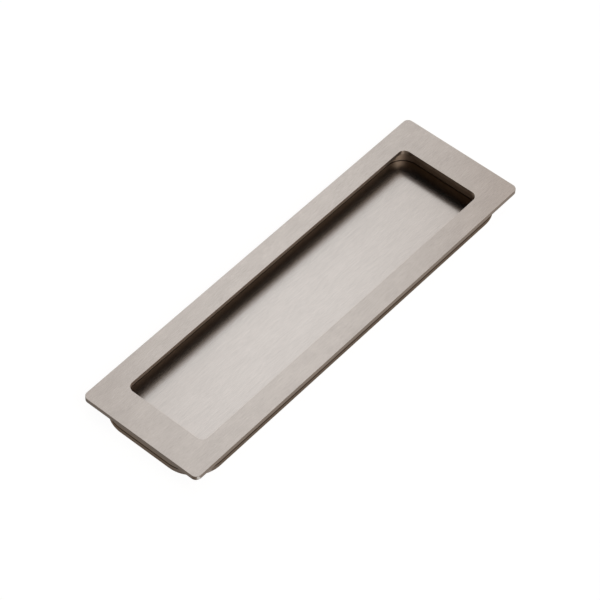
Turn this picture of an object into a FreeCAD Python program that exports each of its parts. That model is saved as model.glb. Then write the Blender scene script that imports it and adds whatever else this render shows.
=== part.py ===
import FreeCAD, Part
import math
import os

# Pocket door pull: a flush, rectangular finger pull let into the face of a sliding door.
# A flat face plate hides the routed pocket and carries the opening for the fingers.
# Behind it a cup, open at the front and the back, makes the walls of the recess, and a thick
# sheet closes it with a floor. The three are bonded face to face, and the joint of cup and
# floor shows as a fine line, outside on the cup's sides and inside at the foot of the wall.
# Millimetres. The pull lies on its back: X runs along its length, Y across it, Z out of
# the face. The origin is the middle of the floor sheet's back.

# Face plate
PLATE_LENGTH = 150.0
PLATE_WIDTH = 44.5
PLATE_THICKNESS = 1.6
PLATE_CORNER_RADIUS = 1.9
PLATE_EDGE_BREAK = 0.08

# Opening in the face plate, set in from the plate's ends and sides by its border
END_BORDER = 11.0
SIDE_BORDER = 7.35
OPENING_CORNER_RADIUS = 2.4

# Recess, measured from the front of the face plate to the floor that the fingers touch,
# and wider than the opening by a lip that the fingers hook behind
RECESS_DEPTH = 6.25
RECESS_CORNER_RADIUS = 6.3
END_LIP = 2.0
SIDE_LIP = 2.4

# Cup and floor sheet share one outline
PLATE_OVERHANG = 2.0
CUP_CORNER_RADIUS = 10.7
FLOOR_SHEET_THICKNESS = 2.75
BACK_EDGE_RADIUS = 1.2
JOINT_EDGE_BREAK = 0.2

# Heights of the faces that meet, from the back forwards
FLOOR_Z = FLOOR_SHEET_THICKNESS
PLATE_FRONT_Z = FLOOR_Z + RECESS_DEPTH
PLATE_BACK_Z = PLATE_FRONT_Z - PLATE_THICKNESS

# Outlines of the opening, the cup and the recess, all worked out from the face plate
OPENING_LENGTH = PLATE_LENGTH - 2 * END_BORDER
OPENING_WIDTH = PLATE_WIDTH - 2 * SIDE_BORDER
CUP_LENGTH = PLATE_LENGTH - 2 * PLATE_OVERHANG
CUP_WIDTH = PLATE_WIDTH - 2 * PLATE_OVERHANG
RECESS_LENGTH = OPENING_LENGTH + 2 * END_LIP
RECESS_WIDTH = OPENING_WIDTH + 2 * SIDE_LIP

UP = FreeCAD.Vector(0, 0, 1)
SAME_HEIGHT = 1e-6


def rounded_outline(length, width, radius, z):
    """Closed wire: a rectangle about the origin whose four corners are quarter circles."""
    corners_x = length / 2 - radius
    corners_y = width / 2 - radius
    edges = []
    starts = []
    ends = []
    for quarter, (side_x, side_y) in enumerate([(1, 1), (-1, 1), (-1, -1), (1, -1)]):
        centre = FreeCAD.Vector(side_x * corners_x, side_y * corners_y, z)
        spokes = []
        for half_step in range(3):
            angle = math.radians(90 * quarter + 45 * half_step)
            spokes.append(centre + FreeCAD.Vector(math.cos(angle), math.sin(angle), 0) * radius)
        edges.append(Part.Arc(*spokes).toShape())
        starts.append(spokes[0])
        ends.append(spokes[2])
    for corner in range(4):
        next_corner = (corner + 1) % 4
        edges.append(Part.LineSegment(ends[corner], starts[next_corner]).toShape())
    return Part.Wire(Part.__sortEdges__(edges))


def rounded_slab(length, width, radius, bottom_z, top_z):
    """Solid slab with the rounded outline, from one height to another."""
    face = Part.Face(rounded_outline(length, width, radius, bottom_z))
    return face.extrude(UP * (top_z - bottom_z))


def edges_at(shape, z):
    """Edges that lie wholly at one height."""
    return [edge for edge in shape.Edges if all(abs(v.Z - z) < SAME_HEIGHT for v in edge.Vertexes)]


def make_face_plate():
    """Sheet with a rounded rectangular window, its front edges lightly broken all round."""
    plate = rounded_slab(PLATE_LENGTH, PLATE_WIDTH, PLATE_CORNER_RADIUS, PLATE_BACK_Z, PLATE_FRONT_Z)
    window = rounded_slab(
        OPENING_LENGTH, OPENING_WIDTH, OPENING_CORNER_RADIUS, PLATE_BACK_Z, PLATE_FRONT_Z
    )
    plate = plate.cut(window)
    return plate.makeFillet(PLATE_EDGE_BREAK, edges_at(plate, PLATE_FRONT_Z))


def make_cup():
    """Straight walls, open at both ends. The edges where they meet the floor are broken."""
    cup = rounded_slab(CUP_LENGTH, CUP_WIDTH, CUP_CORNER_RADIUS, FLOOR_Z, PLATE_BACK_Z)
    hollow = rounded_slab(RECESS_LENGTH, RECESS_WIDTH, RECESS_CORNER_RADIUS, FLOOR_Z, PLATE_BACK_Z)
    cup = cup.cut(hollow)
    return cup.makeFillet(JOINT_EDGE_BREAK, edges_at(cup, FLOOR_Z))


def make_floor_sheet():
    """Thick sheet with a well rounded back edge. Its front edge is broken under the cup's."""
    sheet = rounded_slab(CUP_LENGTH, CUP_WIDTH, CUP_CORNER_RADIUS, 0, FLOOR_Z)
    sheet = sheet.makeFillet(BACK_EDGE_RADIUS, edges_at(sheet, 0))
    return sheet.makeFillet(JOINT_EDGE_BREAK, edges_at(sheet, FLOOR_Z))


PARTS = {
    "face_plate": make_face_plate,
    "cup": make_cup,
    "floor_sheet": make_floor_sheet,
}

os.makedirs("parts", exist_ok=True)
for name, make in PARTS.items():
    solid = make().Solids[0]
    solid.exportStep("parts/" + name + ".step")
    box = solid.optimalBoundingBox()
    print(name, "%.2f x %.2f x %.2f mm," % (box.XLength, box.YLength, box.ZLength), "%.0f mm3" % solid.Volume)
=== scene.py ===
# %% [markdown]
# # A brushed pocket door pull
#
# The object is a flush finger pull for a sliding door. A thin brushed face plate with a
# rounded window lies over a shallow cup, and a brushed sheet closes the cup with a floor.
# Three pieces of metal and no screws: everything depends on crisp edges, flat faces and
# the way that brushed metal smears the light across its grain.
#
# The solids come from the CAD model, which is loaded first as the frame. It is in metres,
# X runs along the pull, Y across it and Z out of the face. The pull lies on its back.

import math

import bpy
import numpy as np
from mathutils import Matrix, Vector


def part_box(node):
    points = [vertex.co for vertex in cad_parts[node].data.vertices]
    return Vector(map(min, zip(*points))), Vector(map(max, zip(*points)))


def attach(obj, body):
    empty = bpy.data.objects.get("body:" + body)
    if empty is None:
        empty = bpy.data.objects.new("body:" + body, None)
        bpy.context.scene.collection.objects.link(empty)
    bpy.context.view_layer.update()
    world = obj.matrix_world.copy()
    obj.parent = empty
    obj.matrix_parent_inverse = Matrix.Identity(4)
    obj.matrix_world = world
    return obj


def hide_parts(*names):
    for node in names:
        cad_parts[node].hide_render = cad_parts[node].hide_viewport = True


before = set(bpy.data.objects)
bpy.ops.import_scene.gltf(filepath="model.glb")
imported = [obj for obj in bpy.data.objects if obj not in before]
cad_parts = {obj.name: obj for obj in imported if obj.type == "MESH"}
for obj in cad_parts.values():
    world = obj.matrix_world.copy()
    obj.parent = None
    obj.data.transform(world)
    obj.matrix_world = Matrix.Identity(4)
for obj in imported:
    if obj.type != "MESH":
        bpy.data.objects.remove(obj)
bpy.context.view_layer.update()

# %% [markdown]
# ## The outline that all three pieces share
#
# Plate, window, cup and floor are all rectangles with round corners. The real ones are
# punched or milled, and both tools leave a true arc in each corner. A Bevel modifier on a
# box could make such a corner, but then the radius of the outline and the tiny rounding of
# the sharp edges would fight for the same setting. So the outline is worked out as points:
# each corner is a quarter circle, and the straight sides are simply the gaps between them.
#
# Each point also gets the direction in which the side faces there. These directions become
# the normals of the mesh, so that a flat face stays perfectly flat in a reflection.

# %% The rounded rectangle
MM = 0.001
CORNER_STEPS = 20


def outline_directions():
    """Corner signs and outward directions of the points of a rounded rectangle.

    Quarter q of the way round, and fraction t of that quarter, face the angle (q + t) * 90
    degrees. Quarter 0 is the corner at +X +Y, and the signs say which corner it is.
    """
    quarter = np.repeat(np.arange(4), CORNER_STEPS + 1)
    part = np.tile(np.linspace(0.0, 1.0, CORNER_STEPS + 1), 4)
    angle = (quarter + part) * math.pi / 2
    sign_x = np.array([1.0, -1.0, -1.0, 1.0])[quarter]
    sign_y = np.array([1.0, 1.0, -1.0, -1.0])[quarter]
    return sign_x, sign_y, np.cos(angle), np.sin(angle)


SIGN_X, SIGN_Y, FACING_X, FACING_Y = outline_directions()
LOOP_POINTS = len(SIGN_X)
print("points round each outline:", LOOP_POINTS)

# %% [markdown]
# ## Profiles carried round the outline
#
# Cut any of the pieces across and you see its profile: flat, corner, flat, corner. A real
# corner is never a perfect edge. Even a sheared sheet has a rounding of a tenth of a
# millimetre, and that rounding catches the light as a thin bright line. So each corner of
# the profile is a small arc.
#
# A profile is written as rows. A row says how large the outline is there, how high it lies,
# and which way the surface faces: outwards, upwards or in between. A corner that faces
# inwards, as round the window, is the same arc turned to the other side.

# %% One corner of a profile
ARC_STEPS = 6


def corner_rows(size, place, radius, turn):
    """Rows of one small arc of a profile, carried round one outline.

    size is the outline's (half length, half width, corner radius), place is the arc's
    (distance outside the outline, height) at its centre, and turn its first and last angle
    in degrees, where 0 faces outwards and 90 faces up. At the angle a the outline grows by
    distance + radius * cos a, the height is height + radius * sin a, and the surface faces
    (cos a, sin a).
    """
    angle = np.radians(np.linspace(turn[0], turn[1], ARC_STEPS + 1))
    grow = place[0] + radius * np.cos(angle)
    height = place[1] + radius * np.sin(angle)
    outline = [size[0] + grow, size[1] + grow, size[2] + grow]
    return np.stack([*outline, height, np.cos(angle), np.sin(angle)], axis=1)


print("rows in each corner of a profile:", ARC_STEPS + 1)

# %% [markdown]
# ## From rows to a surface
#
# The surface has two parameters: one counts the rows of the profile, the other counts the
# points round the outline. Every point is found at once with whole arrays, and its normal
# comes from the same angles, so nothing has to be averaged from the faces later.

# %% The swept surface


def swept_points(rows):
    """Points and normals of a profile carried round its outlines.

    A point is its corner's centre, plus the corner radius in the direction that the side
    faces. Its normal is that direction times the row's outward part, plus the row's upward
    part along Z.
    """
    half_length, half_width, radius, height, outward, upward = rows.T[:, :, None]
    x = SIGN_X * (half_length - radius) + radius * FACING_X
    y = SIGN_Y * (half_width - radius) + radius * FACING_Y
    z = np.broadcast_to(height, x.shape)
    points = np.stack([x, y, z], axis=2)
    facing_z = np.broadcast_to(upward, x.shape)
    normals = np.stack([outward * FACING_X, outward * FACING_Y, facing_z], axis=2)
    return points.reshape(-1, 3), normals.reshape(-1, 3)


# %% [markdown]
# The faces are the cells of that grid. Where the profile ends on a flat face, such as the
# back of the pull, the last outline is closed by a strip of four-sided faces, each joining
# two points of the +Y half to their mirror images in the -Y half. One face with as many
# corners as the outline has points would do as well, but it would leave to chance how it is
# cut up for the render.

# %% The faces


def grid_faces(row_count, closed):
    """Faces between each row and the next, and from the last back to the first if closed."""
    row = np.arange(row_count if closed else row_count - 1)[:, None]
    point = np.arange(LOOP_POINTS)[None, :]
    next_row = (row + 1) % row_count
    next_point = (point + 1) % LOOP_POINTS
    corners = [
        row * LOOP_POINTS + point,
        next_row * LOOP_POINTS + point,
        next_row * LOOP_POINTS + next_point,
        row * LOOP_POINTS + next_point,
    ]
    return np.stack(corners, axis=2).reshape(-1, 4)


def cap_faces(first, facing_up):
    """Strip that closes one outline: point i and i + 1 with their mirror images across Y."""
    one = np.arange(LOOP_POINTS // 2 - 1)
    strip = np.stack([one, one + 1, LOOP_POINTS - 2 - one, LOOP_POINTS - 1 - one], axis=1)
    return first + (strip if facing_up else strip[:, ::-1])


print("faces between two rows:", len(grid_faces(2, closed=False)))
print("faces in each cap:", len(cap_faces(0, facing_up=True)))

# %% [markdown]
# The mesh gets its points, faces and normals in one go. The normals are the exact ones
# worked out above, which is what makes the arcs look round and the flats look flat with so
# few faces.

# %% Put a surface into the scene


def make_piece(name, rows, closed=False, caps=()):
    """Object with the swept surface of these rows, smooth, with its own exact normals."""
    points, normals = swept_points(rows)
    faces = [grid_faces(len(rows), closed)]
    for row, facing_up in caps:
        faces.append(cap_faces(row * LOOP_POINTS, facing_up))
    mesh = bpy.data.meshes.new(name)
    mesh.from_pydata(points.tolist(), [], np.concatenate(faces).tolist())
    mesh.polygons.foreach_set("use_smooth", np.ones(len(mesh.polygons), dtype=bool))
    mesh.update()
    mesh.normals_split_custom_set_from_vertices(normals.tolist())
    piece = bpy.data.objects.new(name, mesh)
    bpy.context.collection.objects.link(piece)
    size = points.max(axis=0) - points.min(axis=0)
    print(name, len(mesh.polygons), "faces,", (size / MM).round(2).tolist(), "mm")
    return piece


# %% [markdown]
# ## The face plate
#
# On the real pull this is sheet metal, 1.6 mm thick, brushed along its length, punched to
# its outline and milled open for its window. The front edges are lightly broken so that
# they don't cut a finger, and the back edges are nearly sharp. The profile is a closed loop
# of four corners: over the front edge, under the back edge, up into the window and back.
#
# Length, width and both heights are read from the CAD model's own box, so that the dressed
# plate can't drift from the solid one. The window is set in from there by its borders.

# %% The plate's sizes and profile
plate_low, plate_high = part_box("face_plate")
PLATE_FRONT = plate_high[2]
PLATE_BACK = plate_low[2]
PLATE_CORNER = 1.9 * MM
WINDOW_CORNER = 2.4 * MM
END_BORDER = 11.0 * MM
SIDE_BORDER = 7.35 * MM
FRONT_EDGE = 0.08 * MM
BACK_EDGE = 0.06 * MM
OUT, UP, IN, DOWN = 0.0, 90.0, 180.0, 270.0

PLATE = (plate_high[0], plate_high[1], PLATE_CORNER)
WINDOW = (PLATE[0] - END_BORDER, PLATE[1] - SIDE_BORDER, WINDOW_CORNER)
plate_outside = np.concatenate([
    corner_rows(PLATE, (-FRONT_EDGE, PLATE_FRONT - FRONT_EDGE), FRONT_EDGE, (UP, OUT)),
    corner_rows(PLATE, (-BACK_EDGE, PLATE_BACK + BACK_EDGE), BACK_EDGE, (OUT, -UP)),
])
plate_inside = np.concatenate([
    corner_rows(WINDOW, (BACK_EDGE, PLATE_BACK + BACK_EDGE), BACK_EDGE, (DOWN, IN)),
    corner_rows(WINDOW, (FRONT_EDGE, PLATE_FRONT - FRONT_EDGE), FRONT_EDGE, (IN, UP)),
])
plate_rows = np.concatenate([plate_outside, plate_inside])
face_plate = make_piece("brushed_face_plate", plate_rows, closed=True)

# %% [markdown]
# ## The cup
#
# The cup makes the walls of the recess and keeps the plate off its floor. Its hollow is
# wider than the window on every side, which is what lets a finger hook behind the plate.
# Inside, its wall shows under the far edges of the window, and outside it shows below the
# plate. It is open at the back as well, like a ring cut from a thick bar.
#
# Both edges where it meets the floor sheet are a little broken. In the picture they make
# the thin dark line at the foot of the wall, and the one along the outside.

# %% The cup's sizes and profile
cup_low, cup_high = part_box("cup")
CUP_TOP = cup_high[2]
CUP_FOOT = cup_low[2]
CUP_CORNER = 10.7 * MM
HOLLOW_CORNER = 6.3 * MM
END_LIP = 2.0 * MM
SIDE_LIP = 2.4 * MM
JOINT_EDGE = 0.2 * MM
RIM_EDGE = 0.05 * MM

CUP = (cup_high[0], cup_high[1], CUP_CORNER)
HOLLOW = (WINDOW[0] + END_LIP, WINDOW[1] + SIDE_LIP, HOLLOW_CORNER)
cup_outside = np.concatenate([
    corner_rows(CUP, (-RIM_EDGE, CUP_TOP - RIM_EDGE), RIM_EDGE, (UP, OUT)),
    corner_rows(CUP, (-JOINT_EDGE, CUP_FOOT + JOINT_EDGE), JOINT_EDGE, (OUT, -UP)),
])
cup_inside = np.concatenate([
    corner_rows(HOLLOW, (JOINT_EDGE, CUP_FOOT + JOINT_EDGE), JOINT_EDGE, (DOWN, IN)),
    corner_rows(HOLLOW, (RIM_EDGE, CUP_TOP - RIM_EDGE), RIM_EDGE, (IN, UP)),
])
cup_rows = np.concatenate([cup_outside, cup_inside])
cup = make_piece("cup_walls", cup_rows, closed=True)

# %% [markdown]
# ## The floor sheet
#
# A flat, thick sheet closes the cup from behind. It is brushed along its length before it
# is bonded on, because nobody can brush the bottom of a narrow hollow. Its back edge is
# well rounded, so that the pull slips into its pocket, and its front edge is broken like
# the cup's.

# %% The floor sheet's sizes and profile
sheet_low, sheet_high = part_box("floor_sheet")
SHEET_FRONT = sheet_high[2]
SHEET_BACK = sheet_low[2]
BACK_ROUNDING = 1.2 * MM

sheet_rows = np.concatenate([
    corner_rows(CUP, (-JOINT_EDGE, SHEET_FRONT - JOINT_EDGE), JOINT_EDGE, (UP, OUT)),
    corner_rows(CUP, (-BACK_ROUNDING, SHEET_BACK + BACK_ROUNDING), BACK_ROUNDING, (OUT, -UP)),
])
floor_sheet = make_piece(
    "brushed_floor_sheet", sheet_rows, caps=[(0, True), (len(sheet_rows) - 1, False)]
)

# %% [markdown]
# ## Helpers for materials
#
# A finish is a network of nodes, and so are the lights further down. Most of the nodes do
# one small sum. A few helpers hide the wiring, so that a finish reads like a list of what
# happens to the metal. Wherever a value is wanted, they take the output of another node
# or plain numbers.

# %% Add and join nodes


def add_node(owner, kind, settings=None, **values):
    """New node of a material or a world, with its settings and its named sockets' values."""
    node = owner.node_tree.nodes.new(kind)
    for key, value in (settings or {}).items():
        setattr(node, key, value)
    for key, value in values.items():
        node.inputs[key.replace("_", " ")].default_value = value
    return node


def join(owner, source, target):
    """Link from one socket to another."""
    owner.node_tree.links.new(source, target)


def feed(owner, targets, sources):
    """Give each target socket its source: another socket is linked, a number is written."""
    for target, source in zip(targets, sources):
        if isinstance(source, bpy.types.NodeSocket):
            join(owner, source, target)
        else:
            target.default_value = source


# %% [markdown]
# Two helpers do sums, on single values and on vectors. A third stretches one span of
# values onto another, which is how a noise or a direction becomes a brightness. Its smooth
# form starts and ends gently, so that no edge shows where the change begins.

# %% Sums and spans
RANGE_SOCKETS = ("From Min", "From Max", "To Min", "To Max")


def combine(owner, operation, first, second):
    """One arithmetic step on two values."""
    node = add_node(owner, "ShaderNodeMath", {"operation": operation})
    feed(owner, node.inputs, (first, second))
    return node.outputs["Value"]


def combine_vectors(owner, operation, first, second):
    """One step on two vectors or colours. A dot product gives a single value."""
    node = add_node(owner, "ShaderNodeVectorMath", {"operation": operation})
    feed(owner, node.inputs, (first, second))
    return node.outputs["Value" if operation == "DOT_PRODUCT" else "Vector"]


def remap(owner, source, span, start, stop, smooth=False):
    """Value that goes from start to stop while the source crosses the span, then stays."""
    node = add_node(owner, "ShaderNodeMapRange")
    node.interpolation_type = "SMOOTHSTEP" if smooth else "LINEAR"
    feed(owner, [node.inputs[name] for name in RANGE_SOCKETS], (*span, start, stop))
    join(owner, source, node.inputs["Value"])
    return node.outputs["Result"]


# %% [markdown]
# The last ones are for colours, and for taking a place or a direction apart. That is how a
# finish can depend on where it is, or on which way the surface faces, with no mask to paint.

# %% Colours and axes


def mix_colours(owner, amount, first, second):
    """The first colour where the amount is 0, the second where it is 1, else in between."""
    node = add_node(owner, "ShaderNodeMix", {"data_type": "RGBA"})
    ends = [(*end, 1.0) if isinstance(end, tuple) else end for end in (first, second)]
    feed(owner, [node.inputs[name] for name in ("Factor", "A", "B")], (amount, *ends))
    return node.outputs["Result"]


def scale_colour(owner, colour, amount):
    """Colour times one value."""
    node = add_node(owner, "ShaderNodeVectorMath", {"operation": "SCALE"})
    feed(owner, (node.inputs["Vector"], node.inputs["Scale"]), (colour, amount))
    return node.outputs["Vector"]


def split_axes(owner, vector):
    """The parts of a vector along X, Y and Z, picked by those names."""
    node = add_node(owner, "ShaderNodeSeparateXYZ")
    join(owner, vector, node.inputs["Vector"])
    return node.outputs


def size_along_x(owner, vector):
    """Size of the part along X, whichever way it points."""
    return combine(owner, "ABSOLUTE", split_axes(owner, vector)["X"], 0.0)


# %% [markdown]
# ## Bare metal
#
# All five finishes start as bare metal with a fine relief. The relief is a Bump node. It
# only turns the normals a little, which is enough, because no scratch on the real pull is
# deep enough to change an outline.

# %% A new metal and its relief


def new_metal(name):
    """Bare metal, its shader, the place on the piece and the way that its surface faces."""
    material = bpy.data.materials.new(name)
    material.use_nodes = True
    shader = material.node_tree.nodes["Principled BSDF"]
    shader.inputs["Metallic"].default_value = 1.0
    place = add_node(material, "ShaderNodeTexCoord").outputs["Object"]
    normal = add_node(material, "ShaderNodeNewGeometry").outputs["Normal"]
    return material, shader, place, normal


def add_relief(material, shader, height, strength, depth):
    """Turn the shader's normals as if the height, from 0 to 1, stood out by the depth."""
    relief = add_node(material, "ShaderNodeBump", Strength=strength, Distance=depth)
    join(material, height, relief.inputs["Height"])
    join(material, relief.outputs["Normal"], shader.inputs["Normal"])


# %% [markdown]
# ## Brushed metal
#
# An abrasive belt leaves thousands of fine scratches along the pull. The ones that you can
# make out one by one come from noise that is stretched along X. A picture of scratches
# would do too, but it would repeat, and it would need to be laid on every face.
#
# Three sizes are used: hair lines and wider streaks, which are mixed, and soft patches
# where the belt pressed harder. They change the colour a little, the roughness a little,
# and the relief.

# %% The belt's marks
FINER_SHARE = 0.55
HAIR_LINE = (2.2 * MM, 0.09 * MM, 0.09 * MM)
WIDE_STREAK = (9.0 * MM, 0.20 * MM, 0.20 * MM)
BELT_PATCH = (7.0 * MM, 4.0 * MM, 4.0 * MM)
HAIR_SHARE = 0.65
WIDE_SHARE = 0.35


def stretched_noise(material, place, size, detail):
    """Noise between 0 and 1 whose blotches have the given size in metres along X, Y and Z.

    The place is divided by the size, so one unit of the noise is one blotch. The detail is
    the number of finer layers, and each has the finer share of the strength of the last.
    """
    scaled = add_node(material, "ShaderNodeMapping", Scale=tuple(1.0 / part for part in size))
    join(material, place, scaled.inputs["Vector"])
    noise = add_node(
        material, "ShaderNodeTexNoise", Scale=1.0, Detail=detail, Roughness=FINER_SHARE
    )
    join(material, scaled.outputs["Vector"], noise.inputs["Vector"])
    return noise.outputs["Fac"]


def belt_marks(material, place):
    """Streaks, which are the shares of hair lines and wide streaks added up, and patches."""
    hair = stretched_noise(material, place, HAIR_LINE, detail=2.0)
    wide = stretched_noise(material, place, WIDE_STREAK, detail=3.0)
    hair_part = combine(material, "MULTIPLY", hair, HAIR_SHARE)
    wide_part = combine(material, "MULTIPLY", wide, WIDE_SHARE)
    streaks = combine(material, "ADD", hair_part, wide_part)
    return streaks, stretched_noise(material, place, BELT_PATCH, detail=3.0)


print("hair lines are", round(HAIR_LINE[0] / HAIR_LINE[1]), "times as long as they are wide")

# %% [markdown]
# The finest scratches can't be seen one by one, but they show in every reflection. Each is
# a groove that throws light to its sides and hardly at all along its length, so what the
# metal mirrors is smeared across the grain. The shader has that built in: it spreads a
# reflection most along its tangent, so the tangent has to lie across the grain. The cross
# product of the normal and X does so on every face, flat or round. It is nudged a little,
# because on a face that looks along X it would have no length.

# %% Across the grain
GRAIN_WAY = (1.0, 0.0, 0.0)
NUDGE = (0.0, 0.0005, 0.0003)


def across_the_grain(material, normal):
    """Normal crossed with the way of the grain, plus the nudge."""
    sideways = combine_vectors(material, "CROSS_PRODUCT", normal, GRAIN_WAY)
    return combine_vectors(material, "ADD", sideways, NUDGE)


# %% [markdown]
# The cut edges look different from the faces. A punch shears the sheet, and that surface
# is duller than the brushed front, and its colour is painted darker as painted shade for
# the dark surroundings that the edges mirror. The two ends are cut across the grain and
# are painted darker still, painted shade for the side that shows less light, and the back,
# which no belt has touched, is painted darkest, painted shade under the plate. Each could
# be a material of its own, but then the edges' roundings would change colour in one step.
# So one material tells them apart by the way that the surface faces.

# %% Front, end or back
FRONT_SPAN = (0.55, 0.95)
END_SPAN = (0.50, 0.90)
BACK_SPAN = (-0.90, -0.50)


def facing_amounts(material, normal):
    """How far the surface is front, end and back, each from 0 to 1.

    Front and back follow the part of the normal along Z, up and down, and end follows the
    size of its part along X.
    """
    upward = split_axes(material, normal)["Z"]
    front = remap(material, upward, FRONT_SPAN, 0.0, 1.0, smooth=True)
    end = remap(material, size_along_x(material, normal), END_SPAN, 0.0, 1.0, smooth=True)
    back = remap(material, upward, BACK_SPAN, 1.0, 0.0, smooth=True)
    return front, end, back


all_front = math.degrees(math.acos(FRONT_SPAN[1]))
print("a surface is all front within", round(all_front), "degrees of straight up")

# %% [markdown]
# The dark band that the walls leave on the floor fades out in brown. That brown is painted
# shade: the floor is painted a shade warmer in a margin along the walls, where the band
# fades. A brown light would tint the plate as well.

# %% The painted warm shade along the walls
MARGIN = 3.8 * MM
MARGIN_FADE = 2.3 * MM
NO_TINT = (1.0, 1.0, 1.0)


# Painted shade: a warm tint on the floor in a margin along the walls, where their dark band
# fades.
def warm_shade_near_walls(material, place, colour, tint):
    """Colour times the tint in the margin along the walls, fading out over the next strip.

    The amount is 1 where |x| or |y| is within the margin of the hollow's half length or
    half width, falls smoothly to 0 over the fade, and is the larger of the two.
    """
    axes = split_axes(material, place)
    amounts = []
    for axis, half in zip("XY", HOLLOW):
        span = (half - MARGIN - MARGIN_FADE, half - MARGIN)
        distance = combine(material, "ABSOLUTE", axes[axis], 0.0)
        amounts.append(remap(material, distance, span, 0.0, 1.0, smooth=True))
    amount = combine(material, "MAXIMUM", *amounts)
    return combine_vectors(
        material, "MULTIPLY", colour, mix_colours(material, amount, NO_TINT, tint)
    )


print("the tint reaches", round((MARGIN + MARGIN_FADE) / MM, 1), "mm from the walls")

# %% [markdown]
# Now the brushed finish itself, put together from all these. Noise of this kind seldom
# leaves the middle half of its range, so that half is what gets stretched onto each swing.

# %% The brushed finish
MARKS_SPAN = (0.25, 0.75)
ROUGHNESS_SWING = 0.02
CUT_EXTRA_ROUGHNESS = 0.18
SCRATCH_DEPTH = 0.0015 * MM
SCRATCH_STRENGTH = 0.6


def brushed_metal(name, face, side, end, back, rough, smear, streak, patch, wall_shade_tint=None):
    """Metal brushed along X on its front and duller on its cut edges and back.

    The colour is face on the front, back behind, end where the surface looks along X, else
    side, and the side, end and back colours hold painted light and shade. It is multiplied
    by 1 plus the streaks and patches, which swing by their own shares, and by the painted
    warm shade near the walls. rough is the roughness of the front, and smear, from 0 to 1,
    says how much further a reflection spreads across the grain.
    """
    material, shader, place, normal = new_metal(name)
    streaks, patches = belt_marks(material, place)
    at_front, at_end, at_back = facing_amounts(material, normal)

    colour = mix_colours(material, at_end, side, end)
    colour = mix_colours(material, at_back, colour, back)
    colour = mix_colours(material, at_front, colour, face)
    streaky = remap(material, streaks, MARKS_SPAN, 1.0 - streak, 1.0 + streak)
    patchy = remap(material, patches, MARKS_SPAN, -patch, patch)
    colour = scale_colour(material, colour, combine(material, "ADD", streaky, patchy))
    if wall_shade_tint:
        colour = warm_shade_near_walls(material, place, colour, wall_shade_tint)
    join(material, colour, shader.inputs["Base Color"])

    low, high = rough - ROUGHNESS_SWING, rough + ROUGHNESS_SWING
    belt_roughness = remap(material, streaks, MARKS_SPAN, low, high)
    cut_roughness = remap(material, at_front, (0.0, 1.0), CUT_EXTRA_ROUGHNESS, 0.0)
    roughness = combine(material, "ADD", belt_roughness, cut_roughness)
    join(material, roughness, shader.inputs["Roughness"])

    shader.inputs["Anisotropic"].default_value = smear
    join(material, across_the_grain(material, normal), shader.inputs["Tangent"])
    add_relief(material, shader, streaks, SCRATCH_STRENGTH, SCRATCH_DEPTH)
    print("material", name, "with", len(material.node_tree.nodes), "nodes")
    return material


# %% [markdown]
# The plate and the floor sheet are brushed alike, but the floor is a little paler, more
# even and more smeared. The window is milled, and its edge is painted lighter than the
# punched edges outside, a painted highlight, but it is the same metal and keeps the plate's
# other values.

# %% The plate, its window and the floor
# Painted shade: the cut edges are painted dark for the dark surroundings that they mirror, the
# ends darker still for the side that shows less light, and the back darkest, under the plate.
SHADED_SIDE_CUT = (0.207, 0.158, 0.122)
SHADED_END_CUT = (0.094, 0.067, 0.046)
SHADED_BACK = (0.032, 0.019, 0.012)
# Painted highlight: the window's edge is painted lighter than the cut edges outside.
WINDOW_SIDE = (0.430, 0.350, 0.285)
WINDOW_END = (0.450, 0.370, 0.290)
PLATE_FINISH = {
    "face": (0.624, 0.596, 0.573), "back": SHADED_BACK,
    "rough": 0.25, "smear": 0.6, "streak": 0.20, "patch": 0.05,
}
FLOOR_FINISH = {
    "face": (0.723, 0.706, 0.693), "back": SHADED_BACK,
    "rough": 0.25, "smear": 0.7, "streak": 0.13, "patch": 0.025,
    "wall_shade_tint": (1.03, 0.975, 0.92),
}

plate_metal = brushed_metal("satin nickel, brushed", side=SHADED_SIDE_CUT, end=SHADED_END_CUT, **PLATE_FINISH)
window_metal = brushed_metal(
    "window edge, painted lighter", side=WINDOW_SIDE, end=WINDOW_END, **PLATE_FINISH
)
floor_metal = brushed_metal("floor sheet, brushed", side=SHADED_SIDE_CUT, end=SHADED_END_CUT, **FLOOR_FINISH)

# %% [markdown]
# ## The cup's two finishes
#
# Inside, the cup is plated with the plate and is satin metal, but its colour is painted
# darker and browner than the plate's, as painted shade for the recess. Outside, the cup
# goes into the door and nobody sees it, so it keeps the dull skin that it was cut with. Its
# colour there is painted dark, as painted shade for the dark surroundings that it mirrors,
# and darker still at the ends and below the joint, as painted shade for the ends that show
# less light and for the shaded table that the rounding below the joint mirrors. Both have
# the faint cloudiness of metal that no belt has touched, which is noise with no direction.
# Bare metal usually turns white where it is seen at a low angle. The specular tint holds
# that back.
#
# The joint of cup and floor is a fine groove, and hardly any light comes out of it. At this
# size a few rays would decide whether it looks dark, so it is also painted dark.

# %% Plain metal
CLOUD = (4.0 * MM, 4.0 * MM, 4.0 * MM)
GRIT = (0.25 * MM, 0.25 * MM, 0.25 * MM)
CLOUD_SPAN = (0.3, 0.7)
CLOUD_ROUGHNESS_SWING = 0.05
GRIT_DEPTH = 0.006 * MM
GRIT_STRENGTH = 0.5
LOW_ANGLE_TINT = (0.50, 0.42, 0.35, 1.0)
JOINT_LINE = float(SHEET_FRONT)
JOINT_HALF_WIDTH = 0.1 * MM
JOINT_REACH = 0.35 * MM
JOINT_SHADE = 0.05
print("the joint's line is", round(JOINT_LINE / MM, 2), "mm above the table")


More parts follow.
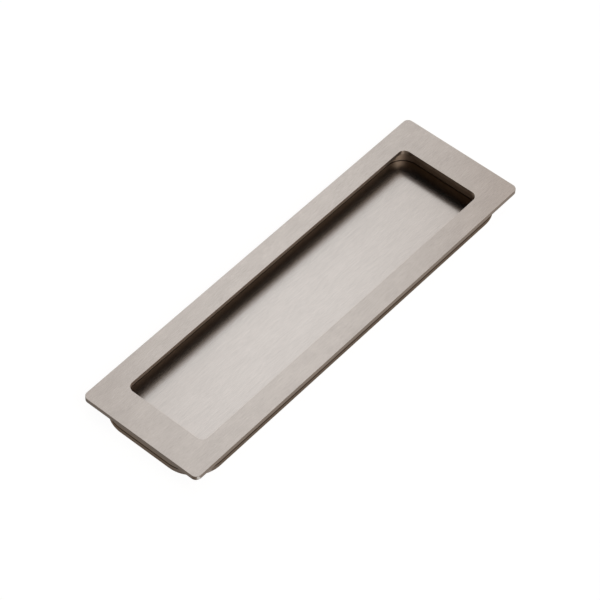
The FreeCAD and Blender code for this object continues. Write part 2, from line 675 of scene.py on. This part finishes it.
def joint_shades(material, place):
    """How far a place is above the joint, and how much light the groove leaves it.

    Both go by the height over the joint's line. The first goes from 0 to 1 across the
    groove, and the second from the joint's shade in the groove to 1 at its reach.
    """
    height = combine(material, "SUBTRACT", split_axes(material, place)["Z"], JOINT_LINE)
    groove = (-JOINT_HALF_WIDTH, JOINT_HALF_WIDTH)
    above = remap(material, height, groove, 0.0, 1.0)
    distance = combine(material, "ABSOLUTE", height, 0.0)
    fade = (JOINT_HALF_WIDTH, JOINT_REACH)
    return above, remap(material, distance, fade, JOINT_SHADE, 1.0, smooth=True)


def plain_metal(name, low_colour, high_colour, end_share, rough, cloud):
    """Metal without a grain: colour and roughness vary with two sizes of round noise.

    The colour is the low one under the joint of floor and cup, and the high one over it.
    It is multiplied by the groove's shade, by 1 plus or minus the cloud's share, and by
    the end share where the surface looks along X.
    """
    material, shader, place, normal = new_metal(name)
    shader.inputs["Specular Tint"].default_value = LOW_ANGLE_TINT
    clouds = stretched_noise(material, place, CLOUD, detail=4.0)
    grit = stretched_noise(material, place, GRIT, detail=2.0)
    mixed = combine(material, "MULTIPLY", combine(material, "ADD", clouds, grit), 0.5)

    above, groove = joint_shades(material, place)
    cloudy = remap(material, mixed, CLOUD_SPAN, 1.0 - cloud, 1.0 + cloud)
    # Painted shade: where the surface looks along X, the colour is darker by the end share.
    along = size_along_x(material, normal)
    end_shade = remap(material, along, END_SPAN, 1.0, end_share, smooth=True)
    cloudy = combine(material, "MULTIPLY", cloudy, end_shade)
    colour = mix_colours(material, above, low_colour, high_colour)
    colour = scale_colour(material, colour, combine(material, "MULTIPLY", groove, cloudy))
    join(material, colour, shader.inputs["Base Color"])

    low, high = rough - CLOUD_ROUGHNESS_SWING, rough + CLOUD_ROUGHNESS_SWING
    roughness = remap(material, mixed, CLOUD_SPAN, low, high)
    join(material, roughness, shader.inputs["Roughness"])
    add_relief(material, shader, grit, GRIT_STRENGTH, GRIT_DEPTH)
    print("material", name, "with", len(material.node_tree.nodes), "nodes")
    return material


# %% [markdown]
# The wall inside has one colour all the way, because the joint is at its foot. The shell is
# the cup's outside and the floor sheet's side and back, so both its colours are needed.

# %% The wall and the shell
# Painted shade: the wall inside is painted darker and browner than the plate, for the recess.
SHADED_WALL_COLOUR = (0.380, 0.300, 0.235)
# Painted shade: the shell is painted dark for the dark surroundings that it mirrors, and darker
# under the joint, where its rounding mirrors the shaded table.
SHELL_LOW = (0.165, 0.135, 0.115)
SHELL_HIGH = (0.198, 0.162, 0.136)

wall_metal = plain_metal(
    "cup inside, satin, painted shade", SHADED_WALL_COLOUR, SHADED_WALL_COLOUR, end_share=1.0, rough=0.42, cloud=0.05
)
shell_metal = plain_metal(
    "cup outside, dull, painted shade", SHELL_LOW, SHELL_HIGH, end_share=0.80, rough=0.42, cloud=0.12
)

# %% [markdown]
# ## Give each piece its finishes
#
# Each piece has two finishes, and the rows of its profile say where one ends and the other
# begins. So the faces are picked by row, and nothing has to be selected by hand. The last
# row of the plate's faces is its flat front, which closes the loop, so the window ends one
# row before.

# %% Finish by row


def finish_by_row(piece, materials, second_rows, second_caps=()):
    """Second material on the rows and caps that are marked, first material on the rest."""
    for material in materials:
        piece.data.materials.append(material)
    in_grid = np.repeat(second_rows, LOOP_POINTS)
    in_caps = np.repeat(np.array(second_caps, dtype=bool), LOOP_POINTS // 2 - 1)
    second = np.concatenate([in_grid, in_caps])
    piece.data.polygons.foreach_set("material_index", second.astype(np.int32))
    print(piece.name, "wears", materials[1].name, "on", int(second.sum()), "of", len(second))


plate_row = np.arange(len(plate_rows))
in_window = (plate_row >= len(plate_outside)) & (plate_row < len(plate_rows) - 1)
finish_by_row(face_plate, (plate_metal, window_metal), in_window)
cup_row = np.arange(len(cup_rows))
finish_by_row(cup, (wall_metal, shell_metal), cup_row < len(cup_outside))
whole_side = np.ones(len(sheet_rows) - 1, dtype=bool)
finish_by_row(floor_sheet, (floor_metal, shell_metal), whole_side, (False, True))

# %% [markdown]
# ## Tie the pieces to the CAD model
#
# Each dressed piece stands for one solid and moves with the one rigid body.

# %% Ride and replace
for piece, node, slot_name in (
    (face_plate, "face_plate", "plate_satin_nickel"),
    (cup, "cup", "cup_satin_nickel"),
    (floor_sheet, "floor_sheet", "floor_satin_nickel"),
):
    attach(piece, "root")
    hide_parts(node)
    print(piece.name, "stands for", node)

# %% [markdown]
# ## The table
#
# The photo has a pure white ground. A wide pale sheet stands in for it. Its colour alone
# would come out light grey, so it glows of its own, for the camera and in reflections and
# clear things alike, while the light that falls on it still draws the object's shadow.
#
# The studio has two more flat sheets, so the helpers that make a sheet come first.

# %% Flat sheets
SQUARE = np.array([(-1.0, -1.0), (1.0, -1.0), (1.0, 1.0), (-1.0, 1.0)])
WHITE = (1.0, 1.0, 1.0, 1.0)


def level_corners(middle, half, height):
    """Corners of a level rectangle: its middle, plus or minus half its length and width."""
    flat = np.array(middle) + SQUARE * half
    return np.column_stack([flat, np.full(len(flat), height)])


def flat_sheet(name, corners, material):
    """Object that is one four-sided face through these corners."""
    mesh = bpy.data.meshes.new(name)
    mesh.from_pydata(corners.tolist(), [], [(0, 1, 2, 3)])
    mesh.materials.append(material)
    sheet = bpy.data.objects.new(name, mesh)
    bpy.context.collection.objects.link(sheet)
    sides = np.linalg.norm(np.diff(corners[:3], axis=0), axis=1)
    print("sheet", name, "with sides of", sides.round(4).tolist(), "m")
    return sheet


# %% [markdown]
# Each ray knows what kind it is. The glow is switched on for the rays that look at the
# table, straight or in a mirror or through glass, and off for those that gather light, so
# the table lights nothing by itself.

# %% The pale floor
TABLE_REACH = 3.0
TABLE_GLOW = 0.95
TABLE_GREY = 0.28
TABLE_ROUGHNESS = 0.9


def seen_or_mirrored(owner):
    """1 for camera, glossy and transmission rays, else 0: the largest of the three flags."""
    flags = add_node(owner, "ShaderNodeLightPath").outputs
    either = combine(owner, "MAXIMUM", flags["Is Camera Ray"], flags["Is Glossy Ray"])
    return combine(owner, "MAXIMUM", either, flags["Is Transmission Ray"])


table_paint = bpy.data.materials.new("pale table")
table_paint.use_nodes = True
paint = table_paint.node_tree.nodes["Principled BSDF"]
paint.inputs["Base Color"].default_value = (TABLE_GREY, TABLE_GREY, TABLE_GREY, 1.0)
paint.inputs["Roughness"].default_value = TABLE_ROUGHNESS
paint.inputs["Specular IOR Level"].default_value = 0.0
paint.inputs["Emission Color"].default_value = WHITE
glow = combine(table_paint, "MULTIPLY", seen_or_mirrored(table_paint), TABLE_GLOW)
join(table_paint, glow, paint.inputs["Emission Strength"])

floor = flat_sheet("table", level_corners((0.0, 0.0), TABLE_REACH, 0.0), table_paint)

# %% [markdown]
# ## The studio
#
# Flat metal shows one thing only: whatever hangs in the mirror direction. The dark band
# inside the window is the plate's own edge, mirrored in the floor, so the light can't
# simply come from everywhere. The world is painted to be a dim studio, and each soft light
# is a smooth patch round one direction. Area lights would do as well, but a patch has no
# rim that could show in the metal.
#
# - A small lamp stands high over the near side. The far corner of the recess, where two
#   walls and the floor meet, throws it towards the camera.
# - A weak, wide light on the right shows in the same way in the far long edge of the window.
# - A dark flag, which is a light with a strength below zero, takes a little away on the
#   left, which is what the wall at the far end shows.
# - A panel hangs straight above, for whoever looks straight down.
#
# A light has its direction, its strength, and the two angles from its middle, in degrees,
# at which it starts to fade and is gone.

# %% The soft lights
GROUND_LEVEL = 0.10
SOFT_LIGHTS = {
    "lamp over the near side": ((-0.218, -0.600, 0.770), 1.60, 8.0, 20.0),
    "weak light on the right": ((0.520, -0.320, 0.790), 0.19, 15.0, 45.0),
    "dark flag on the left": ((-0.506, 0.389, 0.770), -0.04, 25.0, 60.0),
    "panel above": ((0.0, 0.0, 1.0), 0.40, 8.0, 24.0),
}

world = bpy.data.worlds.new("studio")
bpy.context.scene.world = world
world.use_nodes = True
sky = world.node_tree.nodes["Background"]
direction = add_node(world, "ShaderNodeTexCoord").outputs["Generated"]
brightness = GROUND_LEVEL
for light, (aim, strength, core, rim) in SOFT_LIGHTS.items():
    closeness = combine_vectors(world, "DOT_PRODUCT", direction, aim)
    fade = (math.cos(math.radians(rim)), math.cos(math.radians(core)))
    patch_glow = remap(world, closeness, fade, 0.0, strength, smooth=True)
    brightness = combine(world, "ADD", brightness, patch_glow)
    print(light, "fades between", core, "and", rim, "degrees from its middle")

# %% [markdown]
# The camera's own half of the room never shows in the flat faces of the main picture, but
# it does from other sides, and metal that mirrors a dark room looks like bronze. So that
# half is grey for rays that have met one mirror. It stays dim for rays that have met two,
# as they do between the walls and the floor, because the recess is dark in the photo. The
# ray depth tells them apart. Tried out, it comes to 2 after one mirror, so the limit lies
# above that.

# %% The camera's half of the room
DEPTH_LIMIT = 2.5
NEAR_HALF_LEVEL = 0.42
NEAR_HALF_SPAN = (0.10, 0.30)

way = split_axes(world, direction)
depth = add_node(world, "ShaderNodeLightPath").outputs["Ray Depth"]
one_mirror = combine(world, "LESS_THAN", depth, DEPTH_LIMIT)
seen = combine(world, "MULTIPLY", one_mirror, seen_or_mirrored(world))
near_half = remap(world, way["X"], NEAR_HALF_SPAN, NEAR_HALF_LEVEL, 0.0, smooth=True)
near_half_seen = combine(world, "MULTIPLY", near_half, seen)
brightness = combine(world, "MAXIMUM", brightness, near_half_seen)
print("grey towards -X, from x =", NEAR_HALF_SPAN[1], "to", NEAR_HALF_SPAN[0])

# %% [markdown]
# Lamps are white, and what a dim room gives back is warm, because its light has already met
# wood and walls. So the colour of the world goes by its brightness. Low on the horizon the
# world is white for the camera and in one mirror, so that a view from the side sees the
# same white ground as a view from above.

# %% The warm room and the white horizon
ROOM_COLOUR = (1.0, 0.72, 0.52)
LAMP_COLOUR = (1.0, 1.0, 1.0)
WARM_SPAN = (0.05, 0.60)
HORIZON_SPAN = (0.40, 0.65)

lamp_share = remap(world, brightness, WARM_SPAN, 0.0, 1.0)
room = mix_colours(world, lamp_share, ROOM_COLOUR, LAMP_COLOUR)
low_down = remap(world, way["Z"], HORIZON_SPAN, 1.0, 0.0, smooth=True)
whiteness = combine(world, "MULTIPLY", low_down, seen)
level = add_node(world, "ShaderNodeMix", {"data_type": "FLOAT"}, B=1.0)
join(world, whiteness, level.inputs["Factor"])
join(world, brightness, level.inputs["A"])
join(world, level.outputs["Result"], sky.inputs["Strength"])
join(world, mix_colours(world, whiteness, room, LAMP_COLOUR), sky.inputs["Color"])
print("world:", len(world.node_tree.nodes), "nodes for", len(SOFT_LIGHTS), "soft lights")

# %% [markdown]
# ## The soft box
#
# The plate is brightest in the middle and falls off towards all four corners. A far light
# can't do that, because every point of the plate would see it in almost the same
# direction. A near one can: it is a cloth of less than a metre, brighter in its
# middle, and only 40 centimetres away in the mirror direction. It is a plain sheet that
# glows, added to what lies behind it, so it has no hard rim in any reflection. The camera
# looks through it, and it leaves the table alone, which has its own light.
#
# First comes the way that the cloth hangs: square to the line from the pull to its middle.

# %% Where the cloth hangs
MIRROR_WAY = np.array([0.506, 0.389, 0.770])
CLOTH_DISTANCE = 0.40
CLOTH_HALF = 0.42

across = np.cross((0.0, 0.0, 1.0), MIRROR_WAY)
across /= np.linalg.norm(across)
upwards = np.cross(MIRROR_WAY, across)
cloth_points = MIRROR_WAY * CLOTH_DISTANCE + SQUARE * CLOTH_HALF @ np.stack([across, upwards])
print("the cloth's middle is at", cloth_points.mean(axis=0).round(3).tolist(), "m")

# %% [markdown]
# Its brightness is a bell curve, longer one way than the other, like a lamp head behind the
# cloth: the glow times e to the power of minus half the sum of two squares. Each square is
# of the distance from the bright spot along one axis, counted in that axis's spreads. The
# two axes lie in the cloth, a little tilted.

# %% The bell curve
BRIGHT_SPOT = (0.020, 0.030)
TILT = math.radians(-20.4)
SPREADS = (0.091, 0.175)

glowing = bpy.data.materials.new("soft box cloth")
glowing.use_nodes = True
bright_place = cloth_points.mean(axis=0) + BRIGHT_SPOT[0] * across + BRIGHT_SPOT[1] * upwards
short_way = math.cos(TILT) * across + math.sin(TILT) * upwards
long_way = math.cos(TILT) * upwards - math.sin(TILT) * across
cloth_place = add_node(glowing, "ShaderNodeTexCoord").outputs["Object"]
offset = combine_vectors(glowing, "SUBTRACT", cloth_place, tuple(bright_place))
squares = []
for axis, spread in zip((short_way, long_way), SPREADS):
    counted = combine_vectors(glowing, "DOT_PRODUCT", offset, tuple(axis / spread))
    squares.append(combine(glowing, "MULTIPLY", counted, counted))
fall = combine(glowing, "MULTIPLY", combine(glowing, "ADD", *squares), -0.5)
bell = combine(glowing, "POWER", math.e, fall)
print("bright spot at", bright_place.round(3).tolist(), "m, spreads", SPREADS)

# %% [markdown]
# Where it is faint the glow is warm, like the room. It is an Emission added to a
# Transparent shader, so that the room behind the cloth still shows through. Only mirrors
# and clear things see the cloth.

# %% The glowing cloth
CLOTH_GLOW = 0.935
FAINT_COLOUR = (1.0, 0.70, 0.50)
FAINT_SPAN = (0.10, 0.70)


def show_in_mirrors_only(sheet):
    """Hide a sheet from the camera, and let it cast neither soft light nor a shadow."""
    sheet.visible_camera = sheet.visible_diffuse = sheet.visible_shadow = False


glowing.node_tree.nodes.remove(glowing.node_tree.nodes["Principled BSDF"])
bright_share = remap(glowing, bell, FAINT_SPAN, 0.0, 1.0)
emission = add_node(glowing, "ShaderNodeEmission")
cloth_colour = mix_colours(glowing, bright_share, FAINT_COLOUR, LAMP_COLOUR)
join(glowing, cloth_colour, emission.inputs["Color"])
join(glowing, combine(glowing, "MULTIPLY", bell, CLOTH_GLOW), emission.inputs["Strength"])
clear = add_node(glowing, "ShaderNodeBsdfTransparent")
both = add_node(glowing, "ShaderNodeAddShader")
feed(glowing, both.inputs, (emission.outputs["Emission"], clear.outputs["BSDF"]))
surface = glowing.node_tree.nodes["Material Output"].inputs["Surface"]
join(glowing, both.outputs["Shader"], surface)

cloth = flat_sheet("soft box", cloth_points, glowing)
show_in_mirrors_only(cloth)

# %% [markdown]
# ## Two slips of card
#
# Two small glints are left by the near corner: a bright spot on the corner of the plate,
# and a paler stretch on the cut edge beside it. Both mirror something small and bright that
# lies on the table just in front of them, so a slip of glowing card lies there for each.
# Like the cloth they are only seen in mirrors. Each slip has its middle and its half size
# in millimetres, its strength and its colour.

# %% The slips of card by the near corner
SLIP_HEIGHT = 0.05 * MM
SLIPS = (
    ((-75.2, -29.3), (4.0, 2.2), 11.0, (0.62, 0.80, 1.0)),
    ((-70.2, -21.6), (4.5, 1.6), 2.5, (0.86, 0.94, 1.0)),
)

for number, (middle, half, strength, tone) in enumerate(SLIPS):
    slip_paint = bpy.data.materials.new("glowing card")
    slip_paint.use_nodes = True
    slip_shader = slip_paint.node_tree.nodes["Principled BSDF"]
    slip_shader.inputs["Emission Color"].default_value = (*tone, 1.0)
    slip_shader.inputs["Emission Strength"].default_value = strength
    corners = level_corners(np.array(middle) * MM, np.array(half) * MM, SLIP_HEIGHT)
    slip = flat_sheet("slip of card " + str(number + 1), corners, slip_paint)
    show_in_mirrors_only(slip)

# %% [markdown]
# ## The camera
#
# The sharp corners of the plate and of its window fix the camera: it stands off the near
# left corner, 50 degrees above the table, with a long lens and a slight roll. Its place is
# written as a distance along its own line of sight, plus two small shifts that bring the
# pull to where the picture has it.

# %% Where the camera stands
AZIMUTH = math.radians(-51.8122)
ELEVATION = math.radians(50.3382)
ROLL = math.radians(3.0117)
DISTANCE = 810.13 * MM
SHIFT_RIGHT = -2.43 * MM
SHIFT_UP = -3.54 * MM

backwards = np.array([
    math.sin(AZIMUTH) * math.cos(ELEVATION),
    -math.cos(AZIMUTH) * math.cos(ELEVATION),
    math.sin(ELEVATION),
])
level_right = np.cross((0.0, 0.0, 1.0), backwards)
level_right /= np.linalg.norm(level_right)
level_up = np.cross(backwards, level_right)
right = math.cos(ROLL) * level_right + math.sin(ROLL) * level_up
up = -math.sin(ROLL) * level_right + math.cos(ROLL) * level_up
look_at = np.array([0.0, 0.0, PLATE_FRONT])
stand = look_at + SHIFT_RIGHT * right + SHIFT_UP * up + DISTANCE * backwards
print("camera at", (stand / MM).round(1).tolist(), "mm")

# %% [markdown]
# A camera looks along its own -Z, so its matrix has the right, up and backwards directions
# as its first three columns and the place as its fourth. The lens and the sensor are in
# millimetres, as on a real camera.

# %% The camera
LENS = 161.45
SENSOR_WIDTH = 36.0
NEAREST = 0.01

camera_data = bpy.data.cameras.new("camera")
camera_data.lens = LENS
camera_data.sensor_width = SENSOR_WIDTH
camera_data.clip_start = NEAREST
camera = bpy.data.objects.new("camera", camera_data)
bpy.context.collection.objects.link(camera)
turned = np.eye(4)
turned[:3] = np.stack([right, up, backwards, stand], axis=1)
camera.matrix_world = Matrix(turned.tolist())
bpy.context.scene.camera = camera
bpy.context.scene.view_settings.view_transform = "Standard"
print("angle of view", round(math.degrees(camera_data.angle), 2), "degrees")
